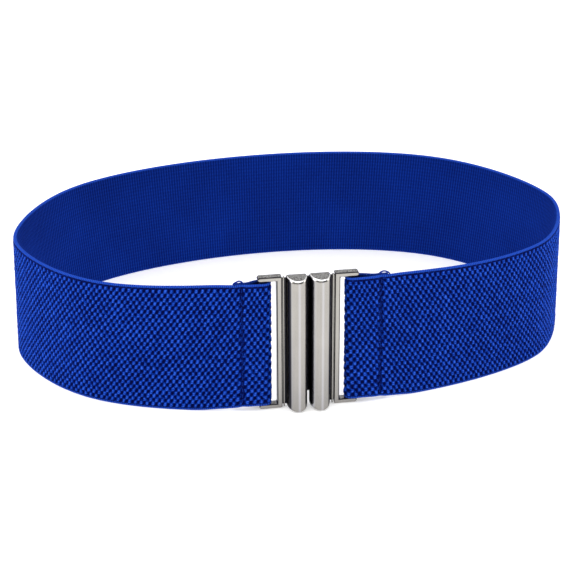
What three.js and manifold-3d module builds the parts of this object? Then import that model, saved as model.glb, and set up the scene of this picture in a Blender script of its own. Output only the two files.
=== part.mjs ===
// An elastic stretch belt, fastened and standing on its edge as a closed loop.
// A wide woven elastic is folded round a rod in each half of a metal buckle and sewn to itself.
// The buckle's two half-round bars stand side by side at the front and hook together behind.
// Millimetres, +Z up. The buckle faces -Y and the origin is under the middle of the belt.
import * as THREE from 'three';
import Module from 'manifold-3d';
import { mergeVertices } from 'three/addons/utils/BufferGeometryUtils.js';

// Elastic
const ELASTIC_WIDTH = 60;
const ELASTIC_THICKNESS = 1.75;
const LOOP_LENGTH = 700;         // round the middle of the wall, buckle included
const TOP_LEAN = 2.5;            // how far the top edge stands in from the bottom edge
const SEAM_FROM_CENTRE = { left: 30, right: 33 };
const SEAM_DIP = 0.5;            // how deep the stitches pull the front layer in
const SEAM_DIP_WIDTH = 1.6;
const TAIL_PAST_SEAM = 3.5;
const SEWN_GAP = 0.2;            // between the two layers where they are sewn together
const EASE_LENGTH = 25;          // how far from the fold the wall takes up the loop's curve
const LOW_GRIP_LENGTH = 30;      // how far past its frame the buckle lifts the elastic's lower edge
const TOP_GRIP_LENGTH = 75;      // the same for its top edge

// How the loop's outline departs from a circle, as shares of its mean radius.
// A row with two lobes makes it an oval, three an egg, and four to six flatten or sharpen it.
const OUTLINE_LOBES = [
  { lobes: 2, cosine: 0.226, sine: 0.004 },
  { lobes: 3, cosine: -0.003, sine: -0.013 },
  { lobes: 4, cosine: -0.023, sine: -0.004 },
  { lobes: 5, cosine: 0, sine: 0.002 },
  { lobes: 6, cosine: 0.010, sine: 0.005 },
];

// Buckle, one half on each side of the middle
const CLEARANCE = 0.3;           // between pieces that don't touch
const ROD_DIAMETER = 2.4;        // the outer bar of each frame, which the elastic is folded round
const FRAME_DEPTH = 4;
const RAIL_HEIGHT = 2.2;         // the frame's top and bottom rails
const INNER_POST_WIDTH = 2.4;
const SLOT_WIDTH = 5.9;          // between the frame's inner post and its rod
const FOLD_SLACK = 1.75;         // how far the fold stands off the rod, towards the buckle's middle
const FRAME_BEVEL = 0.6;
const BAR_WIDTH = 9.5;           // the half-round bar
const BAR_DEPTH = 9.4;
const BAR_BASE_DEPTH = 1.4;      // the straight part of the bar's sides, at its back
const BAR_BASE_ROUND = 1;
const BAR_PROUD = 6.2;           // how far the bar stands out in front of the frame
const BAR_CHAMFER = 0.8;
const BAR_SPACE = 0.9;           // between the two bars
const BAR_END_INSET = 0.2;       // from the frame's ends to the bar's
const WEB_LENGTH = 1.85;         // the thin plate between the bar and the frame
const WEB_THICKNESS = 1.2;
const WEB_BACK = 1.4;            // from the frame's back to the plate's back
const RIB_WIDTH = 0.6;           // the raised line that runs down the plate
const RIB_FROM_FRAME = 0.5;
const RIB_PROUD = 0.9;
const LINK = 0.4;                // how deep parts of one casting run into each other

// The hidden hook behind the bars
const HOOK_THICKNESS = 1;
const HOOK_LIP_WIDTH = 1.2;
const HOOK_LIP_DEPTH = 2.6;
const HOOK_FROM_BOTTOM = 6;      // from the buckle's lower edge to the hook
const HOOK_FROM_TOP = 2;
const HOOK_ROOT_WIDTH = 6;

// Fineness of the curves
const LONG_STEP = 6;
const SHORT_STEP = 1.5;
const LARGEST_TURN = THREE.MathUtils.degToRad(4.5);
const FOLD_STEPS = 10;
const BAR_STEPS = 24;
const CORNER_STEPS = 3;
const END_STEPS = 6;
const ROD_SIDES = 16;

const FRONT = -Math.PI / 2;
const FULL_TURN = 2 * Math.PI;
const MEAN_RADIUS = LOOP_LENGTH / FULL_TURN;

// Places that follow from the sizes above
const WINDOW_HEIGHT = ELASTIC_WIDTH + 2 * CLEARANCE;
const BUCKLE_HEIGHT = WINDOW_HEIGHT + 2 * RAIL_HEIGHT;
const FOLD_BOTTOM = RAIL_HEIGHT + CLEARANCE;
const LAYER_SPACING = ROD_DIAMETER + 2 * CLEARANCE + ELASTIC_THICKNESS;
const FOLD_RADIUS = LAYER_SPACING / 2;
const BAR_CENTRE_X = (BAR_SPACE + BAR_WIDTH) / 2;
const FRAME_INNER_X = BAR_SPACE / 2 + BAR_WIDTH + WEB_LENGTH;
const ROD_X = FRAME_INNER_X + INNER_POST_WIDTH + SLOT_WIDTH + ROD_DIAMETER / 2;
const FRAME_OUTER_X = ROD_X + ROD_DIAMETER / 2;
const FOLD_X = ROD_X - ROD_DIAMETER / 2 - FOLD_SLACK - ELASTIC_THICKNESS / 2 + FOLD_RADIUS;

const wasm = await Module();
wasm.setup();

// How far the loop reaches in the direction of an angle, and how fast that changes
function reach(angle) {
  let far = 1;
  let slope = 0;
  let bend = 0;
  for (const { lobes, cosine, sine } of OUTLINE_LOBES) {
    const wave = cosine * Math.cos(lobes * angle) + sine * Math.sin(lobes * angle);
    far += wave;
    slope += lobes * (sine * Math.cos(lobes * angle) - cosine * Math.sin(lobes * angle));
    bend -= lobes * lobes * wave;
  }
  return { far: far * MEAN_RADIUS, slope: slope * MEAN_RADIUS, bend: bend * MEAN_RADIUS };
}

// The point of the loop whose wall faces along an angle, with the buckle's middle at x = 0
function loopPoint(angle) {
  const { far, slope } = reach(angle);
  const x = far * Math.cos(angle) - slope * Math.sin(angle) - reach(FRONT).slope;
  const y = far * Math.sin(angle) + slope * Math.cos(angle);
  return new THREE.Vector2(x, y);
}

function nearBuckle(point, distance) {
  return point.y < 0 && Math.abs(point.x) < distance;
}

// Points all round the loop, closer together in tight bends and near the buckle
function loopStations() {
  const points = [];
  const fine = Math.max(SEAM_FROM_CENTRE.left, SEAM_FROM_CENTRE.right) + TAIL_PAST_SEAM;
  let angle = FRONT;
  while (angle < FRONT + FULL_TURN) {
    const point = loopPoint(angle);
    points.push(point);
    const { far, bend } = reach(angle);
    const step = nearBuckle(point, fine) ? SHORT_STEP : LONG_STEP;
    angle += Math.min(LARGEST_TURN, step / (far + bend));
  }
  return points;
}

const STATIONS = loopStations();
const FRONT_Y = loopPoint(FRONT).y;
const HALF_LENGTH = Math.max(...STATIONS.map((point) => Math.abs(point.x)));
const HALF_DEPTH = Math.max(...STATIONS.map((point) => Math.abs(point.y)));

// The front layer lies flat across the frame, takes up the loop's curve and dips at its seam
function frontLayer(point) {
  const away = Math.abs(point.x);
  const curved = THREE.MathUtils.smoothstep(away, FOLD_X, FOLD_X + EASE_LENGTH);
  const seam = point.x < 0 ? SEAM_FROM_CENTRE.left : SEAM_FROM_CENTRE.right;
  const dip = SEAM_DIP * Math.exp(-(((away - seam) / SEAM_DIP_WIDTH) ** 2));
  return new THREE.Vector2(point.x, THREE.MathUtils.lerp(FRONT_Y, point.y, curved) + dip);
}

// One end of the elastic: round the rod, back behind the front layer and past the seam
function foldedEnd(side, front) {
  const seam = side < 0 ? SEAM_FROM_CENTRE.left : SEAM_FROM_CENTRE.right;
  const points = [];
  for (let step = 0; step <= FOLD_STEPS; step += 1) {
    const turn = (Math.PI * step) / FOLD_STEPS;
    const x = FOLD_X - FOLD_RADIUS * Math.sin(turn);
    points.push(new THREE.Vector2(side * x, FRONT_Y + FOLD_RADIUS * (1 - Math.cos(turn))));
  }
  const sewn = ELASTIC_THICKNESS + SEWN_GAP;
  const behind = front.filter((point) => Math.abs(point.x) < seam + TAIL_PAST_SEAM);
  for (const point of behind) {
    const closing = THREE.MathUtils.smoothstep(Math.abs(point.x), ROD_X, seam);
    const spacing = THREE.MathUtils.lerp(LAYER_SPACING, sewn, closing);
    points.push(new THREE.Vector2(point.x, point.y + spacing));
  }
  return points;
}

// The middle line of the whole strip, from one sewn end to the other
function elasticPath() {
  const wall = STATIONS.filter((point) => !nearBuckle(point, FOLD_X + SHORT_STEP / 2));
  const layer = wall.map((point) => (point.y < 0 ? frontLayer(point) : point));
  const right = layer.filter((point) => point.x > 0 && nearBuckle(point, HALF_LENGTH / 2));
  const left = layer.filter((point) => point.x < 0 && nearBuckle(point, HALF_LENGTH / 2));
  const rightEnd = foldedEnd(1, right);
  const leftEnd = foldedEnd(-1, left.reverse());
  return [...rightEnd.reverse(), ...layer, ...leftEnd];
}

// The outline of a strip of even thickness along a line
function stripShape(path, thickness) {
  const outside = [];
  const inside = [];
  path.forEach((point, index) => {
    const before = path[Math.max(index - 1, 0)];
    const after = path[Math.min(index + 1, path.length - 1)];
    const along = after.clone().sub(before).normalize();
    const across = new THREE.Vector2(along.y, -along.x).multiplyScalar(thickness / 2);
    outside.push(point.clone().add(across));
    inside.push(point.clone().sub(across));
  });
  return new THREE.Shape([...outside, ...inside.reverse()]);
}

// The wall leans in towards its top, and near the buckle the frames' bottom rails lift it
function settleElastic(geometry) {
  const start = FRAME_OUTER_X + CLEARANCE;
  const position = geometry.attributes.position;
  for (let index = 0; index < position.count; index += 1) {
    const x = position.getX(index);
    const y = position.getY(index);
    const height = position.getZ(index);
    const low = THREE.MathUtils.smoothstep(Math.abs(x), start, start + LOW_GRIP_LENGTH);
    const top = THREE.MathUtils.smoothstep(Math.abs(x), start, start + TOP_GRIP_LENGTH);
    const away = THREE.MathUtils.lerp(low, top, height / ELASTIC_WIDTH);
    const z = height + (y < 0 ? FOLD_BOTTOM * (1 - away) : 0);
    const lean = (TOP_LEAN * z) / ELASTIC_WIDTH;
    position.setXYZ(index, x * (1 - lean / HALF_LENGTH), y * (1 - lean / HALF_DEPTH), z);
  }
  return geometry;
}

function elasticGeometry() {
  const shape = stripShape(elasticPath(), ELASTIC_THICKNESS);
  const strip = new THREE.ExtrudeGeometry(shape, { depth: ELASTIC_WIDTH, bevelEnabled: false });
  return settleElastic(strip);
}

// Depths in the buckle are measured from the front of its frames, inwards
const FRAME_FRONT_Y = FRONT_Y + FOLD_RADIUS - FRAME_DEPTH / 2;

function solid(geometry) {
  const bare = geometry.index ? geometry.toNonIndexed() : geometry.clone();
  bare.deleteAttribute('normal');
  bare.deleteAttribute('uv');
  const merged = mergeVertices(bare, 1e-4);
  return new wasm.Manifold(new wasm.Mesh({
    numProp: 3,
    vertProperties: new Float32Array(merged.attributes.position.array),
    triVerts: new Uint32Array(merged.index.array),
  }));
}

function geometryOf(manifold) {
  const mesh = manifold.getMesh();
  const geometry = new THREE.BufferGeometry();
  geometry.setAttribute('position', new THREE.BufferAttribute(new Float32Array(mesh.vertProperties), 3));
  geometry.setIndex(new THREE.BufferAttribute(new Uint32Array(mesh.triVerts), 1));
  const faceted = geometry.toNonIndexed();
  faceted.computeVertexNormals();
  return faceted;
}

// A block given by its two ends along each direction, depth from the frame's front
function block(x0, x1, depth0, depth1, z0, z1) {
  const box = new THREE.BoxGeometry(x1 - x0, depth1 - depth0, z1 - z0);
  box.translate((x0 + x1) / 2, FRAME_FRONT_Y + (depth0 + depth1) / 2, (z0 + z1) / 2);
  return solid(box);
}

// Points along an arc of an ellipse
function arcPoints(x, y, radiusX, radiusY, from, to, steps) {
  return Array.from({ length: steps + 1 }, (unused, step) => {
    const angle = THREE.MathUtils.lerp(from, to, step / steps);
    return new THREE.Vector2(x + radiusX * Math.cos(angle), y + radiusY * Math.sin(angle));
  });
}

// The rounded outer end of a rail
function railEnd(bottom) {
  const nose = RAIL_HEIGHT / 2;
  return arcPoints(FRAME_OUTER_X - nose, bottom + nose, nose, nose, FRONT, -FRONT, END_STEPS);
}

// The frame's rails and inner post, open at the outer side, where the rod closes it
function frameBracket() {
  const postX = FRAME_INNER_X + INNER_POST_WIDTH;
  const windowTop = BUCKLE_HEIGHT - RAIL_HEIGHT;
  const shape = new THREE.Shape([
    new THREE.Vector2(FRAME_INNER_X, 0),
    ...railEnd(0),
    new THREE.Vector2(postX, RAIL_HEIGHT),
    new THREE.Vector2(postX, windowTop),
    ...railEnd(windowTop),
    new THREE.Vector2(FRAME_INNER_X, BUCKLE_HEIGHT),
  ]);
  const bracket = new THREE.ExtrudeGeometry(shape, {
    depth: FRAME_DEPTH - 2 * FRAME_BEVEL,
    bevelThickness: FRAME_BEVEL,
    bevelSize: FRAME_BEVEL,
    bevelOffset: -FRAME_BEVEL,
    bevelSegments: 1,
  });
  bracket.rotateX(Math.PI / 2);
  bracket.translate(0, FRAME_FRONT_Y + FRAME_DEPTH - FRAME_BEVEL, 0);
  return solid(bracket);
}

function rod() {
  const length = WINDOW_HEIGHT + 2 * LINK;
  const cylinder = new THREE.CylinderGeometry(ROD_DIAMETER / 2, ROD_DIAMETER / 2, length, ROD_SIDES);
  cylinder.rotateX(Math.PI / 2);
  cylinder.translate(ROD_X, FRAME_FRONT_Y + FRAME_DEPTH / 2, BUCKLE_HEIGHT / 2);
  return solid(cylinder);
}

// A half-round bar: an elliptical front on a short straight base with rounded back corners
function halfRoundBar() {
  const half = BAR_WIDTH / 2;
  const back = BAR_DEPTH - BAR_PROUD;
  const base = back - BAR_BASE_DEPTH;
  const cornerX = half - BAR_BASE_ROUND;
  const cornerY = back - BAR_BASE_ROUND;
  const round = BAR_BASE_ROUND;
  const shape = new THREE.Shape([
    ...arcPoints(0, base, half, BAR_DEPTH - BAR_BASE_DEPTH, -Math.PI, 0, BAR_STEPS),
    ...arcPoints(cornerX, cornerY, round, round, 0, -FRONT, CORNER_STEPS),
    ...arcPoints(-cornerX, cornerY, round, round, -FRONT, Math.PI, CORNER_STEPS),
  ]);
  const bar = new THREE.ExtrudeGeometry(shape, {
    depth: BUCKLE_HEIGHT - 2 * (BAR_END_INSET + BAR_CHAMFER),
    bevelThickness: BAR_CHAMFER,
    bevelSize: BAR_CHAMFER,
    bevelOffset: -BAR_CHAMFER,
    bevelSegments: 1,
  });
  bar.translate(BAR_CENTRE_X, FRAME_FRONT_Y, BAR_END_INSET + BAR_CHAMFER);
  return solid(bar);
}

// The casting that both halves share, on the right of the middle
function buckleHalf() {
  const bar = BAR_SPACE / 2 + BAR_WIDTH;
  const webBack = FRAME_DEPTH - WEB_BACK;
  const webFront = webBack - WEB_THICKNESS;
  const inset = BAR_END_INSET + BAR_CHAMFER + LINK;
  const web = block(bar - 2 * LINK, FRAME_INNER_X + LINK, webFront, webBack, inset, BUCKLE_HEIGHT - inset);
  const ribX = FRAME_INNER_X - RIB_FROM_FRAME;
  const rib = block(ribX - RIB_WIDTH, ribX, webFront - RIB_PROUD, webFront + LINK, LINK, BUCKLE_HEIGHT - LINK);
  return frameBracket().add(rod()).add(halfRoundBar()).add(web).add(rib);
}

// The hook's plate lies behind both bars, and its lip stands in a groove in the right bar's back
function hook(margin) {
  const back = BAR_DEPTH - BAR_PROUD;
  const z0 = HOOK_FROM_BOTTOM - margin;
  const z1 = BUCKLE_HEIGHT - HOOK_FROM_TOP + margin;
  const lipX0 = BAR_CENTRE_X - HOOK_LIP_WIDTH / 2 - margin;
  const lipX1 = BAR_CENTRE_X + HOOK_LIP_WIDTH / 2 + margin;
  const plateFront = back + CLEARANCE;
  const lip = block(lipX0, lipX1, plateFront - HOOK_LIP_DEPTH - margin, plateFront + LINK, z0, z1);
  const plate = block(-BAR_CENTRE_X, lipX1, plateFront, plateFront + HOOK_THICKNESS, z0, z1);
  const rootX = -BAR_CENTRE_X;
  const root = block(
    rootX - HOOK_ROOT_WIDTH / 2, rootX + HOOK_ROOT_WIDTH / 2, back - LINK, plateFront + HOOK_THICKNESS, z0, z1,
  );
  return { lip, whole: lip.add(plate).add(root) };
}

function piece(name, geometry, color, roughness, metalness) {
  const material = new THREE.MeshStandardMaterial({ color, roughness, metalness });
  const mesh = new THREE.Mesh(geometry, material);
  mesh.name = name;
  return mesh;
}

const ROYAL_BLUE = 0x0a37b4;
const NICKEL = 0xbdb9b2;

const half = buckleHalf();
const leftHalf = half.mirror([1, 0, 0]).add(hook(0).whole);
const rightHalf = half.subtract(hook(CLEARANCE).lip);

// The buckle leans back with the elastic, about the lower back edge that it stands on
const buckle = new THREE.Group();
const pivotY = FRAME_FRONT_Y + FRAME_DEPTH;
buckle.position.y = pivotY;
buckle.rotation.x = -Math.atan((TOP_LEAN * -FRONT_Y) / (HALF_DEPTH * ELASTIC_WIDTH));
for (const [name, manifold] of [['left_buckle_half', leftHalf], ['right_buckle_half', rightHalf]]) {
  const mesh = piece(name, geometryOf(manifold), NICKEL, 0.25, 1);
  mesh.position.y = -pivotY;
  buckle.add(mesh);
}

const group = new THREE.Group();
group.add(piece('elastic_band', elasticGeometry(), ROYAL_BLUE, 0.85, 0), buckle);

// The origin is put under the middle of the whole belt
const extent = new THREE.Box3().setFromObject(group, true);
const middle = extent.getCenter(new THREE.Vector3());
group.position.set(-middle.x, -middle.y, -extent.min.z);
group.updateMatrixWorld(true);

export default group;
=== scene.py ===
# %% [markdown]
# An elastic stretch belt on its edge
#
# The belt is one wide strip of woven elastic that runs once round the waist. Each end is folded round
# the rod of a metal buckle half and sewn to itself. The two halves carry upright half-round bars that
# stand side by side at the front. The plain solids of the belt come in as a fixed frame, and this
# lesson builds the surfaces that are seen: the weave, its smooth edges, the stitches and the metal.

# %% Load the frame
import math

import bmesh
import bpy
import numpy as np
from mathutils import Matrix, Vector


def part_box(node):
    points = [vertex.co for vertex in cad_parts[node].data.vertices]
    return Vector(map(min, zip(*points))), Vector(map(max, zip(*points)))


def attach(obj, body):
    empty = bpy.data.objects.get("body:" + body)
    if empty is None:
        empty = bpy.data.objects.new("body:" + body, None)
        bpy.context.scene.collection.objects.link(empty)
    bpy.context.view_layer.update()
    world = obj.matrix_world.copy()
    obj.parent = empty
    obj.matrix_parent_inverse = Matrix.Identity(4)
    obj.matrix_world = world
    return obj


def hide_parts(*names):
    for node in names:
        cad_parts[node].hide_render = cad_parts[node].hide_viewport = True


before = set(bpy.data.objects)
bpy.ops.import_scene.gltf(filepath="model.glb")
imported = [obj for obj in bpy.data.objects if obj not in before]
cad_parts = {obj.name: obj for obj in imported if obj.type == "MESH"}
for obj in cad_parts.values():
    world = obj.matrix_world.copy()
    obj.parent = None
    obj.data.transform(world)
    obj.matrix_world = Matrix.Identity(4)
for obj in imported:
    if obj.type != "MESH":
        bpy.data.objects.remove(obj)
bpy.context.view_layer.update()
print("solids:", sorted(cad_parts))

# %% [markdown]
# Sizes
#
# The surfaces follow the same sizes as the solids, so they are named here again, in millimetres. All
# the shapes below are worked out in millimetres and turned into metres when a mesh is made.

# %% Sizes of the elastic
MM = 0.001
ELASTIC_WIDTH = 60
ELASTIC_THICKNESS = 1.75
LOOP_LENGTH = 700
TOP_LEAN = 2.5
SEAMS = {"left": 30, "right": 33}
SEAM_DIP = 0.5
SEAM_DIP_WIDTH = 1.6
TAIL_PAST_SEAM = 3.5
SEWN_GAP = 0.2
EASE_LENGTH = 25
LOW_GRIP_LENGTH = 30
TOP_GRIP_LENGTH = 75
OUTLINE_LOBES = (
    # lobes, cosine, sine
    (2, 0.226, 0.004),
    (3, -0.003, -0.013),
    (4, -0.023, -0.004),
    (5, 0, 0.002),
    (6, 0.010, 0.005),
)
MEAN_RADIUS = LOOP_LENGTH / (2 * math.pi)
print("mean radius of the loop:", round(MEAN_RADIUS, 1), "mm")

# %% [markdown]
# The buckle's sizes hang together in the same way: the window is as tall as the elastic plus a little
# air, and everything across is measured from the middle, where the two bars stand side by side.

# %% Sizes of the buckle
CLEARANCE = 0.3
ROD_DIAMETER = 2.4
FRAME_DEPTH = 4
RAIL_HEIGHT = 2.2
INNER_POST_WIDTH = 2.4
SLOT_WIDTH = 5.9
FOLD_SLACK = 1.75
FRAME_BEVEL = 0.6
BAR_WIDTH = 9.5
BAR_DEPTH = 9.4
BAR_BASE_DEPTH = 1.4
BAR_BASE_ROUND = 1
BAR_PROUD = 6.2
BAR_CHAMFER = 0.8
BAR_SPACE = 0.9
BAR_END_INSET = 0.2
WEB_LENGTH = 1.85
WEB_THICKNESS = 1.2
WEB_BACK = 1.4
RIB_WIDTH = 0.6
RIB_FROM_FRAME = 0.5
RIB_PROUD = 0.9
LINK = 0.4
HOOK_THICKNESS = 1
HOOK_LIP_WIDTH = 1.2
HOOK_LIP_DEPTH = 2.6
HOOK_FROM_BOTTOM = 6
HOOK_FROM_TOP = 2
HOOK_ROOT_WIDTH = 6

WINDOW_HEIGHT = ELASTIC_WIDTH + 2 * CLEARANCE
BUCKLE_HEIGHT = WINDOW_HEIGHT + 2 * RAIL_HEIGHT
FOLD_BOTTOM = RAIL_HEIGHT + CLEARANCE
LAYER_SPACING = ROD_DIAMETER + 2 * CLEARANCE + ELASTIC_THICKNESS
FOLD_RADIUS = LAYER_SPACING / 2
BAR_CENTRE_X = (BAR_SPACE + BAR_WIDTH) / 2
FRAME_INNER_X = BAR_SPACE / 2 + BAR_WIDTH + WEB_LENGTH
ROD_X = FRAME_INNER_X + INNER_POST_WIDTH + SLOT_WIDTH + ROD_DIAMETER / 2
FRAME_OUTER_X = ROD_X + ROD_DIAMETER / 2
FOLD_X = ROD_X - ROD_DIAMETER / 2 - FOLD_SLACK - ELASTIC_THICKNESS / 2 + FOLD_RADIUS
print("buckle:", round(BUCKLE_HEIGHT, 1), "mm tall,", round(2 * FRAME_OUTER_X, 1), "mm wide")

# %% [markdown]
# The line that the elastic follows
#
# Seen from above, the loop is an oval with a slightly pointed side. It could be drawn as a spline
# through measured points, but a circle with a few waves added to its reach needs only five rows of
# numbers, and it gives the direction of the wall at every point without any fitting.

# %% The loop in plan
FRONT = -math.pi / 2
FINE_STEPS = 24000


def smoothstep(value, low, high):
    share = np.clip((value - low) / (high - low), 0, 1)
    return share * share * (3 - 2 * share)


def reach(angle):
    far = np.ones_like(angle)
    slope = np.zeros_like(angle)
    for lobes, cosine, sine in OUTLINE_LOBES:
        far += cosine * np.cos(lobes * angle) + sine * np.sin(lobes * angle)
        slope += lobes * (sine * np.cos(lobes * angle) - cosine * np.sin(lobes * angle))
    return far * MEAN_RADIUS, slope * MEAN_RADIUS


def loop_points(angle):
    far, slope = reach(angle)
    front_slope = reach(np.array([FRONT]))[1][0]
    x = far * np.cos(angle) - slope * np.sin(angle) - front_slope
    y = far * np.sin(angle) + slope * np.cos(angle)
    return np.stack([x, y], axis=1)


loop = loop_points(FRONT + np.linspace(0, 2 * math.pi, FINE_STEPS))
FRONT_Y = loop[0, 1]
HALF_LENGTH = abs(loop[:, 0]).max()
HALF_DEPTH = abs(loop[:, 1]).max()
print("loop in plan:", round(2 * HALF_LENGTH), "by", round(2 * HALF_DEPTH), "mm")

# %% [markdown]
# At the front the wall lies flat across the buckle's frames, and it dips where the stitches pull it in.
# Each end turns round its rod in a half-circle and runs back behind the front layer to just past the
# seam. The whole strip is one line, from the one sewn end to the other.

# %% The line of the strip
FOLD_STEPS = 160


def front_layer(points):
    away = abs(points[:, 0])
    curved = smoothstep(away, FOLD_X, FOLD_X + EASE_LENGTH)
    seam = np.where(points[:, 0] < 0, SEAMS["left"], SEAMS["right"])
    dip = SEAM_DIP * np.exp(-(((away - seam) / SEAM_DIP_WIDTH) ** 2))
    y = FRONT_Y + (points[:, 1] - FRONT_Y) * curved + dip
    return np.stack([points[:, 0], np.where(points[:, 1] < 0, y, points[:, 1])], axis=1)


def folded_end(side, wall):
    seam = SEAMS["left"] if side < 0 else SEAMS["right"]
    turn = np.linspace(0, math.pi, FOLD_STEPS)
    x = side * (FOLD_X - FOLD_RADIUS * np.sin(turn))
    fold = np.stack([x, FRONT_Y + FOLD_RADIUS * (1 - np.cos(turn))], axis=1)
    away = side * wall[:, 0]
    behind = wall[(wall[:, 1] < 0) & (away > 0) & (away < seam + TAIL_PAST_SEAM)]
    behind = behind[np.argsort(abs(behind[:, 0]))]
    closing = smoothstep(abs(behind[:, 0]), ROD_X, seam)
    spacing = LAYER_SPACING + (ELASTIC_THICKNESS + SEWN_GAP - LAYER_SPACING) * closing
    tail = np.stack([behind[:, 0], behind[:, 1] + spacing], axis=1)
    return np.concatenate([fold[:-1], tail])


in_front = (loop[:, 1] < 0) & (abs(loop[:, 0]) < FOLD_X)
wall = front_layer(loop[~in_front])
line = np.concatenate([folded_end(1, wall)[::-1], wall, folded_end(-1, wall)])
pieces_between = np.linalg.norm(np.diff(line, axis=0), axis=1)
keep = np.concatenate([[True], pieces_between > 1e-6])
line = line[keep]
distance = np.concatenate([[0], np.cumsum(np.linalg.norm(np.diff(line, axis=0), axis=1))])
STRIP_LENGTH = distance[-1]
print("length of the elastic, sewn ends and folds included:", round(STRIP_LENGTH), "mm")

# %% [markdown]
# A point of the strip is named by how far along it lies, how far up its width, and how far out from its
# middle. The wall also leans in a little towards its top, and the frames' bottom rails lift it near
# the buckle: the lower edge comes down again soon after, and the top edge over a longer way. Last,
# everything moves so that it lies where the solids are.

# %% From the strip to the room
tangent = np.gradient(line, distance, axis=0)
tangent /= np.linalg.norm(tangent, axis=1)[:, None]
ACROSS = np.stack([tangent[:, 1], -tangent[:, 0]], axis=1)


def settle(x, y, z):
    start = FRAME_OUTER_X + CLEARANCE
    low = smoothstep(abs(x), start, start + LOW_GRIP_LENGTH)
    top = smoothstep(abs(x), start, start + TOP_GRIP_LENGTH)
    away = low + (top - low) * z / ELASTIC_WIDTH
    z = z + np.where(y < 0, FOLD_BOTTOM * (1 - away), 0)
    lean = TOP_LEAN * z / ELASTIC_WIDTH
    return np.stack([x * (1 - lean / HALF_LENGTH), y * (1 - lean / HALF_DEPTH), z], axis=-1)


def strip_points(along, up, out):
    x = np.interp(along, distance, line[:, 0]) + out * np.interp(along, distance, ACROSS[:, 0])
    y = np.interp(along, distance, line[:, 1]) + out * np.interp(along, distance, ACROSS[:, 1])
    return settle(x, y, up)


RIM_STEPS = 4000
edge = np.linspace(0, STRIP_LENGTH, RIM_STEPS)
rim = np.concatenate([
    strip_points(edge, up + 0 * edge, out + 0 * edge)
    for up in (0, ELASTIC_WIDTH) for out in (-ELASTIC_THICKNESS / 2, ELASTIC_THICKNESS / 2)
])
node_low, node_high = (np.array(corner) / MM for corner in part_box("elastic_band"))
ORIGIN = (node_low + node_high) / 2 - (rim.min(axis=0) + rim.max(axis=0)) / 2
print("the strip moves by", ORIGIN.round(2), "mm to lie in its solid")
print("corners differ by", (rim.max(axis=0) + ORIGIN - node_high).round(3), "mm")

# %% [markdown]
# Making a mesh
#
# Every surface here is a grid of points or a list of faces in millimetres. One helper turns such a list
# into an object in metres. A second one closes a grid that runs along the strip into a solid.

# %% Helpers for meshes


def make_object(name, points, faces, values=None):
    mesh = bpy.data.meshes.new(name)
    mesh.from_pydata((np.asarray(points) * MM).tolist(), [], faces)
    for key, numbers in (values or {}).items():
        numbers = np.asarray(numbers, dtype=np.float32)
        kind, field = ("FLOAT", "value") if numbers.ndim == 1 else ("FLOAT_VECTOR", "vector")
        mesh.attributes.new(key, kind, "POINT").data.foreach_set(field, numbers.ravel())
    mesh.polygons.foreach_set("use_smooth", [len(face) == 4 for face in faces])
    mesh.update()
    made = bpy.data.objects.new(name, mesh)
    bpy.context.scene.collection.objects.link(made)
    return made


def closed_grid(columns, rows):
    """Faces of a grid whose first and last rows are joined behind it, with a cap at each end."""
    index = np.arange(columns * rows).reshape(columns, rows)
    wrapped = np.concatenate([index, index[:, :1]], axis=1)
    quads = np.stack([wrapped[:-1, :-1], wrapped[1:, :-1], wrapped[1:, 1:], wrapped[:-1, 1:]], axis=-1)
    caps = [index[0].tolist(), index[-1, ::-1].tolist()]
    return quads.reshape(-1, 4).tolist() + caps


def triangles(made):
    return sum(len(face.vertices) - 2 for face in made.data.polygons)


print("helpers ready")

# %% [markdown]
# Shader maths as plain Python
#
# A material is a web of nodes, and sums in it are hard to read as nodes. A small class wraps a socket,
# so that an expression such as 1 - mask adds the Math nodes by itself. Any other node comes from one
# method that takes its type, its settings and what goes into its sockets.

# %% A class for sockets


class Flow:
    """One output socket of a material, which sums can be written with."""

    def __init__(self, finish, socket):
        self.finish = finish
        self.socket = socket

    def out(self, name):
        return Flow(self.finish, self.socket.node.outputs[name])

    def math(self, operation, *others):
        inputs = dict(enumerate((self, *others)))
        return self.finish.node("ShaderNodeMath", {"operation": operation}, inputs)

    def __add__(self, other):
        return self.math("ADD", other)

    def __sub__(self, other):
        return self.math("SUBTRACT", other)

    def __mul__(self, other):
        return self.math("MULTIPLY", other)

    def __truediv__(self, other):
        return self.math("DIVIDE", other)

    def __rsub__(self, other):
        return self.finish.value(other).math("SUBTRACT", self)

    def __rtruediv__(self, other):
        return self.finish.value(other).math("DIVIDE", self)

    __radd__ = __add__
    __rmul__ = __mul__

    def cosine(self):
        return self.math("COSINE")

    def sine(self):
        return self.math("SINE")

    def larger(self, other):
        return self.math("MAXIMUM", other)

    def between(self, low, high, start=0, end=1):
        """Runs smoothly from start to end as this value goes from low to high."""
        settings = {"interpolation_type": "SMOOTHSTEP"}
        inputs = {"Value": self, "From Min": low, "From Max": high, "To Min": start, "To Max": end}
        return self.finish.node("ShaderNodeMapRange", settings, inputs)


print("sums can be written with sockets")

# %% [markdown]
# The second class holds a material. Its node method adds any node: settings first, then values and links.
# The few textures and blends that are used again and again have a short name of their own.

# %% A class for finishes


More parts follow.
